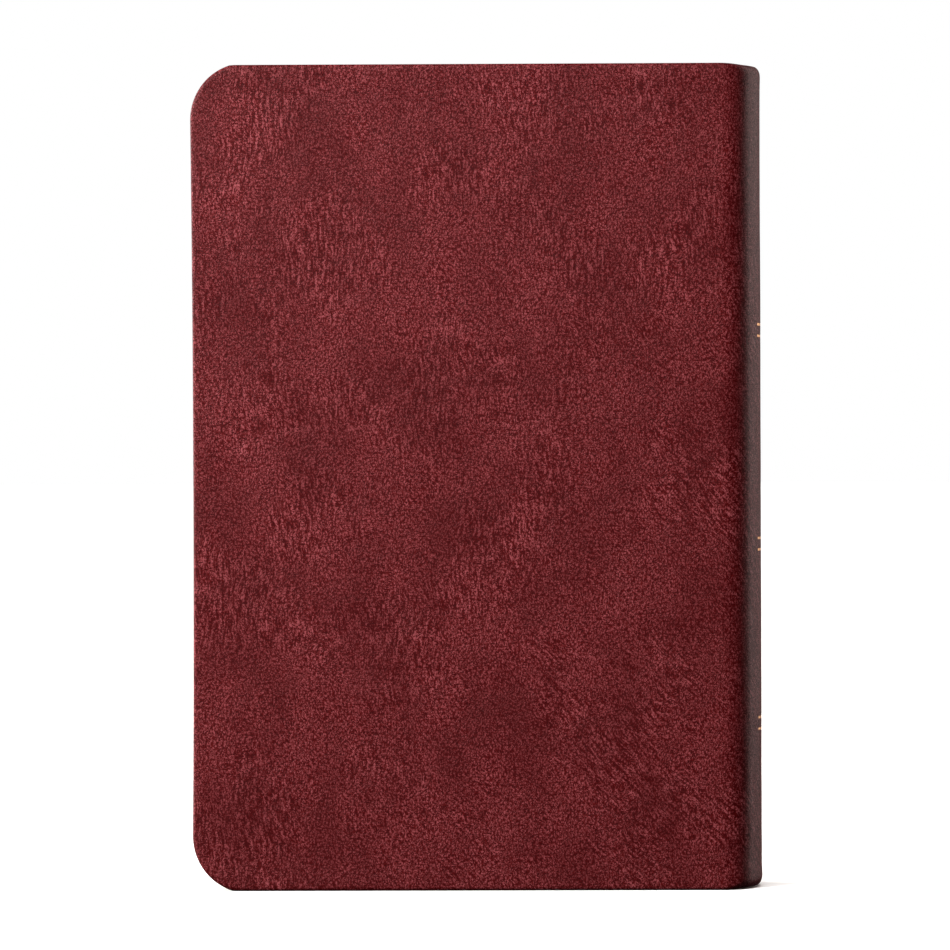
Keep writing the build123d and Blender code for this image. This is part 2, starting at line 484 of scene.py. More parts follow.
        # The slant begins in the lower part of the book next to the spine.
        parts = add(tree, "SeparateXYZ", {0: place}).outputs
        away = recipe.calc("MULTIPLY_ADD", parts[1], 0.7, recipe.calc("ABSOLUTE", parts[0]))
        slant = recipe.ramp(away, 0.115, 0.075)
        creases = add(tree, "Mix", {"Factor": slant, "A": drawn[0], "B": drawn[1]}).outputs["Result"]
        patch = recipe.ramp(recipe.noise(flow, self.patch, 2.0, flat=True), 0.44, 0.6, 0.05, 0.42)
        return recipe.calc("MULTIPLY_ADD", recipe.calc("SUBTRACT", creases, 0.5), patch, pebbles)


@dataclass(frozen=True)
class FoilGold:
    """Imitation gold foil, blocked into the leather with a hot brass type.

    To the eye: a thin warm metal line, a little broken where the grain lay low under the type.

    Attributes:
        bright: colour where the foil is whole.
        worn: colour where it is rubbed.
        grain: half the length of a rubbed spot.
        relief: depth of the leather's grain through the foil.
    """

    bright: str = "#F2C893"
    worn: str = "#C08A5A"
    grain: float = 0.3 * MM
    relief: float = 0.02 * MM
    roughness: float = 0.4

    def make(self) -> bpy.types.Material:
        """Builds the material."""
        recipe = Recipe("gold_foil_blocked", Metallic=1.0)
        rub = recipe.noise(recipe.place(), self.grain, 3.0)
        share = recipe.ramp(rub, 0.42, 0.68)
        tone = recipe.mix(share, self.bright, self.worn)
        gloss = recipe.ramp(share, 0.0, 1.0, self.roughness, self.roughness + 0.15)
        return recipe.surface(tone, gloss, rub, self.relief, 0.6)


@dataclass(frozen=True)
class Paper:
    """Uncoated paper, machine made and calendered.

    To the eye: a matt, faintly mottled sheet with short fibres lying in it.

    Attributes:
        name: the material's name.
        light: colour of most of the sheet.
        shade: colour of its darker mottling.
        fibre: width of a fibre bundle, drawn coarser than the real 0.03 mm so that it shows at all.
        cloud: half the width of a cloud in the sheet, as thick and thin pulp leaves it.
        tooth: depth of the surface.
        roughness: how matt it is.
    """

    name: str
    light: str
    shade: str
    fibre: float = 0.3 * MM
    cloud: float = 9.0 * MM
    tooth: float = 0.012 * MM
    roughness: float = 0.82
    ior: float = 1.47

    def make(self, solid: bool = False) -> bpy.types.Material:
        """Builds the material.

        Args:
            solid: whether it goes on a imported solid, which has no places of its own on a sheet.

        Returns:
            The material.
        """
        recipe = Recipe(self.name, IOR=self.ior, Metallic=0.0)
        place = recipe.place(solid)
        long = recipe.mapping(place, Scale=(1.0, 1.0, 0.3))
        fibres = recipe.noise(long, self.fibre, 4.0, Distortion=1.2)
        mottle = recipe.noise(place, self.cloud, 3.0)
        share = recipe.ramp(recipe.calc("MULTIPLY_ADD", fibres, 0.45, mottle), 0.55, 0.95)
        tone = recipe.mix(share, self.light, self.shade)
        gloss = recipe.ramp(fibres, 0.0, 1.0, self.roughness - 0.06, self.roughness + 0.06)
        return recipe.surface(tone, gloss, fibres, self.tooth, 0.7)


@dataclass(frozen=True)
class GiltEdge:
    """Gold leaf laid on the trimmed page edges with size, and burnished.

    To the eye: a satin gold face ruled by the fine dark lines between the leaves, with duller patches.

    Attributes:
        bright: colour of the burnished gold.
        dull: colour of its duller patches.
        line: colour between the leaves.
        leaf: half the spacing of the lines. The real leaves are 0.06 mm thick, too fine to show, so one
            line stands for several of them.
        patch: half the width of a duller patch.
        relief: depth of the lines.
    """

    bright: str = "#E6BC70"
    dull: str = "#C79A50"
    line: str = "#80592A"
    leaf: float = 0.28 * MM
    patch: float = 6.0 * MM
    relief: float = 0.03 * MM
    roughness: float = 0.44

    def make(self) -> bpy.types.Material:
        """Builds the material."""
        recipe = Recipe("gilt_paper_edge_burnished", Metallic=0.9)
        place = recipe.place()
        across = recipe.mapping(place, Scale=(0.012, 1.0, 1.0))
        leaves = recipe.noise(across, self.leaf, 2.0, Roughness=0.7)
        patches = recipe.noise(place, self.patch, 3.0)
        fade = recipe.ramp(patches, 0.4, 0.7)
        gold = recipe.mix(fade, self.bright, self.dull)
        tone = recipe.mix(recipe.ramp(leaves, 0.36, 0.52), self.line, gold)
        gloss = recipe.ramp(fade, 0.0, 1.0, self.roughness, self.roughness + 0.16)
        return recipe.surface(tone, gloss, leaves, self.relief, 0.5)


@dataclass(frozen=True)
class WovenCloth:
    """Plain woven cloth or wound thread, seen thread by thread.

    To the eye: threads over and under each other, lighter on top and darker between them.

    Attributes:
        name: the material's name.
        thread: colour of the threads.
        between: colour between them.
        pitch: spacing of the threads.
        stripe: colour of every other group of threads, where the silk changes colour.
        stripe_pitch: width of one such group.
    """

    name: str
    thread: str
    between: str
    pitch: float
    stripe: str = ""
    stripe_pitch: float = 1.0
    roughness: float = 0.7
    ior: float = 1.5
    sheen: float = 0.3

    def make(self, solid: bool = False) -> bpy.types.Material:
        """Builds the material.

        Args:
            solid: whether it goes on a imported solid, which has no places of its own on a sheet.

        Returns:
            The material.
        """
        recipe = Recipe(self.name, IOR=self.ior, Metallic=0.0, Sheen_Weight=self.sheen)
        place = recipe.place(solid)
        # A wave of scale s repeats every 0.31 / s, and changes from light to dark every 0.155 / s.
        threads = {"Vector": place, "Scale": 0.31 / self.pitch, "Distortion": 0.6, "Detail": 1.0}
        warp, weft = [
            add(recipe.tree, "TexWave", threads, bands_direction=way).outputs["Fac"] for way in "XY"
        ]
        cloth = recipe.calc("MULTIPLY", warp, weft)
        height = warp if self.stripe else cloth
        yarn = self.thread
        if self.stripe:
            bands = {"Vector": place, "Scale": 0.155 / self.stripe_pitch}
            groups = add(recipe.tree, "TexWave", bands, bands_direction="X").outputs["Fac"]
            yarn = recipe.mix(recipe.ramp(groups, 0.47, 0.53), self.thread, self.stripe)
        tone = recipe.mix(recipe.ramp(height, 0.05, 0.45), self.between, yarn)
        gloss = recipe.ramp(height, 0.0, 1.0, self.roughness + 0.1, self.roughness - 0.1)
        return recipe.surface(tone, gloss, height, 0.3 * self.pitch, 0.8)


@dataclass(frozen=True)
class PaintedFloor:
    """A studio floor rolled with matt white paint: even and pale, with the faintest roller marks."""

    light: str = "#F4F3F1"
    shade: str = "#EFEDEA"
    roller: float = 12 * MM

    def make(self) -> bpy.types.Material:
        """Builds the material."""
        recipe = Recipe("studio_floor_painted", IOR=1.45, Roughness=0.75, Metallic=0.0)
        place = add(recipe.tree, "TexCoord").outputs["Object"]
        marks = recipe.noise(place, self.roller, 2.0)
        tone = recipe.mix(marks, self.light, self.shade)
        recipe.tree.links.new(tone, recipe.shader.inputs["Base Color"])
        return recipe.material


@dataclass
class Finishes:
    """Every finish of the book, made once."""

    leather: bpy.types.Material
    foil: bpy.types.Material
    page: bpy.types.Material
    gilt: bpy.types.Material
    endpaper: bpy.types.Material
    endpaper_solid: bpy.types.Material
    board: bpy.types.Material
    board_solid: bpy.types.Material
    lining: bpy.types.Material
    mull: bpy.types.Material
    silk: bpy.types.Material
    thread_solid: bpy.types.Material

    @classmethod
    def make(cls) -> "Finishes":
        """Makes them all."""
        endpaper = Paper("endpaper_calendered", "#DAD0B8", "#CCBFA2", roughness=0.7)
        board = Paper(
            "mill_board_pressed", "#A38F74", "#7E6B54", fibre=0.5 * MM, tooth=0.04 * MM, roughness=0.9
        )
        thread = WovenCloth("linen_thread_waxed", "#DDD3BC", "#8F8468", 0.25 * MM)
        return cls(
            leather=CalfLeather().make(),
            foil=FoilGold().make(),
            page=Paper("bible_paper_calendered", "#DED5C0", "#D3C7AC").make(),
            gilt=GiltEdge().make(),
            endpaper=endpaper.make(),
            endpaper_solid=endpaper.make(solid=True),
            board=board.make(),
            board_solid=board.make(solid=True),
            lining=Paper("kraft_paper_lining", "#B08E62", "#8E6E48", fibre=0.4 * MM).make(),
            mull=WovenCloth("mull_cotton_open_weave", "#E2DCCB", "#8C8270", 0.6 * MM).make(),
            silk=WovenCloth(
                "headband_silk_wound", "#7A1420", "#2A0508", 0.45 * MM,
                stripe="#E3C88F", stripe_pitch=0.9 * MM, roughness=0.5,
            ).make(),
            thread_solid=thread.make(solid=True),
        )


# ---- the case ----


@dataclass(frozen=True)
class CaseOutline:
    """The closed case seen from above, by the distance round it from the middle of the spine.

    Distances are negative towards the back cover.

    Attributes:
        fore_x: x of the covers' fore edges.
        half_t: half the thickness of the book.
        flat_end_x: x where the flat of a cover ends and the shoulder starts.
        shoulder_r: radius of the shoulder.
        spine_angle: half the angle that the spine's arc turns through.
    """

    fore_x: float
    half_t: float
    flat_end_x: float
    shoulder_r: float = 7.0 * MM
    spine_angle: float = math.radians(30.0)

    @property
    def spine_r(self) -> float:
        """The radius of the spine's arc."""
        sine = math.sin(self.spine_angle)
        return (self.half_t - self.shoulder_r * (1 - sine)) / sine

    @property
    def spine_cx(self) -> float:
        """The x of the middle of the spine's arc."""
        return self.flat_end_x - (self.spine_r - self.shoulder_r) * math.cos(self.spine_angle)

    @property
    def spine_end(self) -> float:
        """The distance at which the spine's arc meets the shoulder."""
        return self.spine_r * self.spine_angle

    @property
    def flat_start(self) -> float:
        """The distance at which the shoulder meets the flat of the cover."""
        return self.spine_end + self.shoulder_r * (math.pi / 2 - self.spine_angle)

    @property
    def fore_edge(self) -> float:
        """The distance of the fore edge."""
        return self.distance(self.fore_x)

    def distance(self, x: float) -> float:
        """The distance of a place on the flat of a cover, by its x."""
        return self.flat_start + self.flat_end_x - x

    def at(self, distance: float, depth: float) -> tuple[float, float]:
        """The x and y of a place in the case.

        Args:
            distance: distance round the outside, negative towards the back cover.
            depth: how deep it lies below the outside.

        Returns:
            Its x and y.
        """
        sign = -1.0 if distance < 0 else 1.0
        reach = abs(distance)
        if reach <= self.spine_end:
            turn = reach / self.spine_r
            radius = self.spine_r - depth
            return self.spine_cx + radius * math.cos(turn), sign * radius * math.sin(turn)
        if reach <= self.flat_start:
            turn = self.spine_angle + (reach - self.spine_end) / self.shoulder_r
            radius = self.shoulder_r - depth
            y = self.half_t - self.shoulder_r + radius * math.sin(turn)
            return self.flat_end_x + radius * math.cos(turn), sign * y
        return self.flat_end_x - (reach - self.flat_start), sign * (self.half_t - depth)


@dataclass
class CaseLeather:
    """The leather of the case: a back cover, a spine and a front cover, turned in at every edge.

    Each cover's leather runs on over the joint and half the shoulder, so that the seams between
    the three pieces lie where nothing bends.

    Attributes:
        outline: the case seen from above.
        height: height of the case.
        board_end: distance from the middle of the spine at which the boards end.
        finishes: the book's finishes.
        edge_r: radius of the leather's rounding over a board's edge.
        lip_r: radius of the turn-in's own edge.
        cap_height, cap_depth, cap_drop: how the leather is drawn over the headbands.
        cap_reach: how far from head and tail the rows of the mesh give way to the cap.
        pocket: how far inside the rim the boards' pocket ends.
        groove_slope: width of the sloping wall of a rule's groove.
        sag: depth of the hide's own unevenness, which has broad waves, smaller ones and narrow ridges.
        bow: how far the fore edge bows inwards half-way up.
        fold_half: half the width of the fold at the middle opening; not used.
        rigid_bend: how far past the flat the leather starts to bend with a cover; not used.
    """

    outline: CaseOutline
    height: float
    board_end: float
    finishes: Finishes
    thickness: float = 0.9 * MM
    board: float = 1.2 * MM
    turn_in: float = 0.5 * MM
    turn_in_width: float = 12.0 * MM
    corner_r: float = 11.6 * MM
    corner_rise: float = 11.1 * MM
    edge_r: float = 0.8 * MM
    lip_r: float = 0.4 * MM
    cap_height: float = 2.0 * MM
    cap_depth: float = 1.15 * MM
    cap_drop: float = 0.3 * MM
    cap_reach: float = 6.0 * MM
    row_pitch: float = 0.75 * MM
    column_pitch: float = 0.75 * MM
    fold_pitch: float = 0.3 * MM
    rule_heights: tuple[float, ...] = (33.0 * MM, 69.0 * MM, 111.9 * MM)
    rule_spacing: float = 2.3 * MM
    rule_width: float = 0.5 * MM
    rule_depth: float = 0.1 * MM
    rule_angle: float = math.radians(17.0)
    foil: float = 0.08 * MM
    groove_slope: float = 0.06 * MM
    sag: float = 0.1 * MM
    wave: Place = (26.0 * MM, 38.0 * MM)
    ripple: Place = (9.0 * MM, 20.0 * MM)
    ridge: Place = (5.0 * MM, 26.0 * MM)
    level_edge: float = 6.0 * MM
    bow: float = 0.5 * MM
    pocket: float = 0.1 * MM
    fold_half: float = 5.0 * MM
    rigid_bend: float = 2.7 * MM
    edge_pitch: float = 0.15 * MM

    @property
    def seam(self) -> float:
        """The distance from the middle of the spine at which a cover's leather takes over."""
        return (self.outline.spine_end + self.outline.flat_start) / 2

    @property
    def rules(self) -> list[float]:
        """The heights of the six gold rules."""
        half = self.rule_spacing / 2
        return [pair + way * half for pair in self.rule_heights for way in (-1, 1)]

    @property
    def rule_reach(self) -> float:
        """The distance from the middle of the spine at which a rule ends."""
        return self.outline.spine_r * self.rule_angle

    def rows(self) -> list[float]:
        """The heights of the mesh's rows, with four rows at each groove of a rule."""
        edges = []
        for middle in self.rules:
            for way in (-1, 1):
                near = middle + way * self.rule_width / 2
                edges += [near, near + way * self.groove_slope]
        even = spread(self.edge_r, self.height - self.edge_r, self.row_pitch)
        clear = self.row_pitch / 2
        return sorted([z for z in even if all(abs(z - edge) > clear for edge in edges)] + edges)

    def rim(self, reach: float) -> tuple[float, float, float]:
        """How the leather rounds over at head and tail.

        Args:
            reach: distance from the middle of the spine.

        Returns:
            How far the rounding reaches along the height, how deep it goes, and how far its top
            lies below the covers' edges.
        """
        cap = ease(reach, self.outline.flat_start, self.outline.spine_end)
        along = self.edge_r + (self.cap_height - self.edge_r) * cap
        deep = self.edge_r + (self.cap_depth - self.edge_r) * cap
        return along, deep, self.cap_drop * cap

    def wall(self, reach: float) -> float:
        """The thickness of the case's edge: leather, board and turn-in, or leather and turn-in only."""
        board = self.board * ease(reach, self.board_end - self.lip_r, self.board_end)
        return self.thickness + self.turn_in + board

    def level(self, distance: float, z: float) -> float:
        """How deep the hide's surface lies below its highest level, from its own unevenness.

        Args:
            distance: distance round the case from the middle of the spine.
            z: height.

        Returns:
            A depth, which is 0 along the edges.
        """
        (wave_a, wave_z), (ripple_a, ripple_z) = self.wave, self.ripple
        ridge_a, ridge_z = self.ridge
        broad = noise.noise(Vector((distance / wave_a, z / wave_z, 1.7)))
        middle = noise.noise(Vector((distance / ripple_a + 1.4 * broad, z / ripple_z, 8.3)))
        ridge = noise.noise(Vector((distance / ridge_a + 2 * broad, z / ridge_z + middle, 4.1)))
        depth = self.sag * (0.5 + 0.5 * broad) + 0.4 * self.sag * (0.5 + 0.5 * middle)
        depth += 0.35 * self.sag * (1 - abs(ridge)) ** 6
        edge = min(z, self.height - z, self.outline.fore_edge - abs(distance))
        return depth * ease(edge, self.edge_r, self.level_edge)

    def groove(self, distance: float, z: float) -> float:
        """The depth of the blocked grooves at a place on the spine."""
        if abs(distance) > self.rule_reach + self.groove_slope / 2:
            return 0.0
        slack = self.rule_width / 2 + self.groove_slope / 2
        return self.rule_depth if any(abs(z - rule) < slack for rule in self.rules) else 0.0

    def settle(self, reach: float, z: float, has_fore: bool) -> tuple[Place, Place]:
        """Moves a point of the even grid to where the leather's rounded outline has it.

        Args:
            reach: distance of the point along the grid.
            z: its height in the grid.
            has_fore: whether the sheet has a fore edge with rounded corners.

        Returns:
            Its place, and the way out of the sheet there if it lies on the rim.
        """
        along, _, drop = self.rim(abs(reach))
        if has_fore:
            middle = 1 - (2 * z / self.height - 1) ** 2
            fore = self.outline.fore_edge
            reach -= self.bow * middle * ease(reach, fore - self.turn_in_width, fore)
        low = z < self.height / 2
        tall = z if low else self.height - z
        if tall < self.cap_reach:
            start = along + drop
            even = self.cap_reach - self.edge_r
            tall = start + (tall - self.edge_r) * (self.cap_reach - start) / even
        way_z = -1.0 if low else 1.0
        middle_a = self.outline.fore_edge - self.corner_r
        across, up = reach - middle_a, self.corner_rise - tall
        if not has_fore or across <= 0 or up <= 0:
            out = (1.0, 0.0) if has_fore and across > 0 else (0.0, way_z)
            return (reach, tall if low else self.height - tall), out
        side, top = self.corner_r - self.edge_r, self.corner_rise - self.edge_r
        size = math.hypot(across, up)
        box = size * min(side / across, top / up)
        scale = min(side, box) / box
        across, up = across * scale, up * scale
        if box < side:
            out = (0.0, way_z)
        else:
            out = (across / math.hypot(across, up), way_z * up / math.hypot(across, up))
        tall = self.corner_rise - up
        return (middle_a + across, tall if low else self.height - tall), out

    def rim_path(self, reach: float) -> list[tuple[float, float]]:
        """The section of the leather's edge, from the outside over the rim to the lip of the turn-in.

        Args:
            reach: distance from the middle of the spine.

        Returns:
            Steps as distance outwards and depth.
        """
        along, deep, _ = self.rim(reach)
        wall = self.wall(reach)
        lip = min(self.lip_r, wall - deep - 0.02 * MM)
        turns = [math.radians(a) for a in (15, 30, 45, 60, 75, 90)]
        path = [(along * math.sin(a), deep * (1 - math.cos(a))) for a in turns]
        path.append((along, wall - lip))
        path += [(along - lip * (1 - math.cos(a)), wall - lip + lip * math.sin(a)) for a in turns[1::2]]
        return path

    def sheet(self, sign: int, columns: Sequence[float], has_fore: bool) -> Shell:
        """Builds one closed piece of the leather.

        Args:
            sign: 1, or -1 to build it towards the back cover.
            columns: distances of the mesh's columns, from a seam outwards.
            has_fore: whether the last column is a fore edge; otherwise it is another seam.

        Returns:
            The shell.
        """
        shell = Shell()
        rows = self.rows()
        spots: dict[tuple[int, int], tuple[Place, Place]] = {}
        grid: list[list[int]] = []
        for i, reach in enumerate(columns):
            line = []
            for j, row in enumerate(rows):
                (a, z), out = self.settle(reach, row, has_fore)
                spots[i, j] = (a, z), out
                depth = self.level(sign * a, z)
                if not has_fore:
                    depth += self.groove(sign * a, row)
                x, y = self.outline.at(sign * a, depth)
                line.append(shell.point((x, y, z), (sign * a, z)))
            grid.append(line)
        shell.loft(grid)
        last, top = len(columns) - 1, len(rows) - 1
        head = [(i, top) for i in range(last + 1)]
        tail = [(i, 0) for i in range(last + 1)]
        if has_fore:
            fore = [(last, j) for j in range(top - 1, 0, -1)]
            chains = [head + fore + tail[::-1]]
        else:
            chains = [head, tail]
        rims = [self.turn_over(shell, sign, chain, spots, grid) for chain in chains]
        if has_fore:
            rings = rims[0]
            inner_head, inner_tail = rings[-1][: last + 1], rings[-1][: -last - 2 : -1]
            board = min(i for i, reach in enumerate(columns) if reach >= self.board_end - TINY)
            shell.face(rings[-1][board : len(rings[-1]) - board])
            ends = [([ring[0] for ring in rings], [ring[-1] for ring in rings], grid[0])]
        else:
            inner_head, inner_tail = rims[0][-1], rims[1][-1]
            board = last
            ends = [
                ([ring[i] for ring in rims[0]], [ring[i] for ring in rims[1]], grid[i]) for i in (0, -1)
            ]
        shell.bridge(inner_head[: board + 1], inner_tail[: board + 1])
        for head_ring, tail_ring, column in ends:
            shell.face([*column, *head_ring[1:], *tail_ring[:0:-1]])
        return shell

    def turn_over(
        self,
        shell: Shell,
        sign: int,
        chain: Sequence[tuple[int, int]],
        spots: dict[tuple[int, int], tuple[Place, Place]],
        grid: Sequence[Sequence[int]],
    ) -> list[list[int]]:
        """Turns the leather over along one run of its rim, down to the inside of the turn-in.

        Args:
            shell: the shell that gets the points.
            sign: 1, or -1 towards the back cover.
            chain: the grid's points along the rim.
            spots: each grid point's place and way out.
            grid: numbers of the grid's points.

        Returns:
            Rows of points, from the grid's rim to the bottom of the pocket that holds the board.
        """
        rings: list[list[int]] = [[grid[i][j] for i, j in chain]]
        columns: list[list[int]] = []
        width = self.turn_in_width
        for i, j in chain:
            (a, z), (way_a, way_z) = spots[i, j]
            reach = abs(a)
            wall = self.wall(reach)
            run = [(a + way_a * out, z + way_z * out, depth) for out, depth in self.rim_path(reach)]
            past_board = way_a > 0 or reach > self.board_end
            inner_a = min(a, self.outline.fore_edge - width) if past_board else a
            inner_z = min(max(z, width), self.height - width)
            run += [(inner_a, inner_z, wall), (inner_a, inner_z, wall - self.turn_in)]
            if reach >= self.board_end - TINY:
                in_a, in_z = a - way_a * self.pocket, z - way_z * self.pocket
                run += [(in_a, in_z, wall - self.turn_in), (in_a, in_z, self.thickness)]
            else:
                run += [(inner_a, inner_z, self.thickness)] * 2
            column = []
            path, before = 0.0, (a, z, 0.0)
            for spot in run:
                path += math.dist(spot, before)
                before = spot
                x, y = self.outline.at(sign * spot[0], spot[2])
                place = (sign * (a + way_a * path), z + way_z * path)
                column.append(shell.point((x, y, spot[1]), place))
            columns.append(column)
        rings += [list(ring) for ring in zip(*columns)]
        shell.loft(rings)
        return rings

    def build_cover(self, side: Side) -> bpy.types.Object:
        """Builds a cover's leather, from its seam on the shoulder round the joint to the fore edge.

        Args:
            side: which cover.

        Returns:
            The piece.
        """
        joint = spread(self.seam, self.board_end - self.lip_r, self.fold_pitch)
        edge = spread(self.board_end - self.lip_r, self.board_end, self.edge_pitch)[1:]
        flat = spread(self.board_end, self.outline.fore_edge - self.edge_r, self.column_pitch)[1:]
        shell = self.sheet(side.value, joint + edge + flat, has_fore=True)
        made = shell.piece(f"{side.word}_cover_leather_turned_in", [self.finishes.leather])
        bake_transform(made)
        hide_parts(f"{side.word}_cover_leather")
        return made

    def build_spine(self) -> list[bpy.types.Object]:
        """Builds the spine's leather and its gold rules.

        Returns:
            The two pieces.
        """
        reach, slope = self.rule_reach, self.groove_slope
        half = [*spread(0, reach, self.fold_pitch), *spread(reach + slope, self.seam, self.fold_pitch)]
        columns = sorted([-a for a in half[1:]] + half)
        sheet = self.sheet(1, columns, has_fore=False)
        leather = sheet.piece("spine_leather_turned_in", [self.finishes.leather])
        rules = self.gold_rules().piece("spine_rules_foil", [self.finishes.foil])
        dressed = ((leather, "spine_leather", "cover_leather"), (rules, "spine_rules", "gold_foil"))
        for made, node, slot in dressed:
            bend_at_opening(made)
            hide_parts(node)
        return [leather, rules]

    def gold_rules(self) -> Shell:
        """Builds the six gold rules, pressed into their grooves, with slightly uneven edges."""
        shell = Shell()
        chance = random.Random(6)
        lift = self.rule_depth - self.foil
        for rule in self.rules:
            sections = []
            for a in spread(-self.rule_reach, self.rule_reach, self.fold_pitch):
                level = self.level(a, rule)
                low = rule - self.rule_width / 2 + chance.uniform(0, 0.02) * MM
                high = rule + self.rule_width / 2 - chance.uniform(0, 0.02) * MM
                corners = [(low, lift), (high, lift), (high, self.rule_depth), (low, self.rule_depth)]
                section = []
                for z, depth in corners:
                    x, y = self.outline.at(a, depth + level)
                    section.append(shell.point((x, y, z), (a, z + depth)))
                sections.append(section)
            shell.tube(sections)
        return shell


def bend_at_opening(piece: bpy.types.Object) -> None:
    """Bakes a piece's place into its mesh.

    Args:
        piece: the piece.
    """
    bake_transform(piece)


# ---- the leaves ----


@dataclass
class LeafOutline:
    """The shape of the trimmed leaves: square at the back, with the two fore-edge corners rounded.

    Attributes:
        low: height of the tail edge.
        high: height of the head edge.
    """

    low: float
    high: float
    corner_r: float = 8.6 * MM
    corner_rise: float = 8.1 * MM
    steps: int = 12
    fore_pitch: float = 12.0 * MM

    def top(self, x: float, fore: float) -> float:
        """The height of the head edge over a place.

        Args:
            x: the place.
            fore: x of the fore edge.

        Returns:
            The height, which falls off over the rounded corner.
        """
        across = fore + self.corner_r - x
        if across <= 0:
            return self.high
        rise = math.sqrt(max(0.0, self.corner_r**2 - across**2))
        return min(self.high, self.high - self.corner_rise + rise)

    def ring(self, fore: float, back: float, inset: float) -> list[Place]:
        """The outline as a closed ring, from the back edge's tail over the fore edge to its head.

        Args:
            fore: x of the fore edge.
            back: x of the back edge.
            inset: how far the ring lies inside the outline.

        Returns:
            Points as x and z; the number is always the same.
        """
        radius, rise = self.corner_r - inset, self.corner_rise - inset
        cut = math.asin(rise / radius)
        centre_x = fore + self.corner_r
        head, tail = [], []
        for i in range(self.steps + 1):
            turn = cut * i / self.steps
            x, up = centre_x - radius * math.cos(turn), radius * math.sin(turn)
            head.append((x, self.high - self.corner_rise + up))
            tail.append((x, self.low + self.corner_rise - up))
        fore_run = [(fore + inset, z) for z in spread(tail[0][1], head[0][1], self.fore_pitch)[1:-1]]
        while len(fore_run) < self.steps:
            fore_run.append(fore_run[-1])
        return [(back, self.low + inset), *tail[::-1], *fore_run, *head, (back, self.high - inset)]


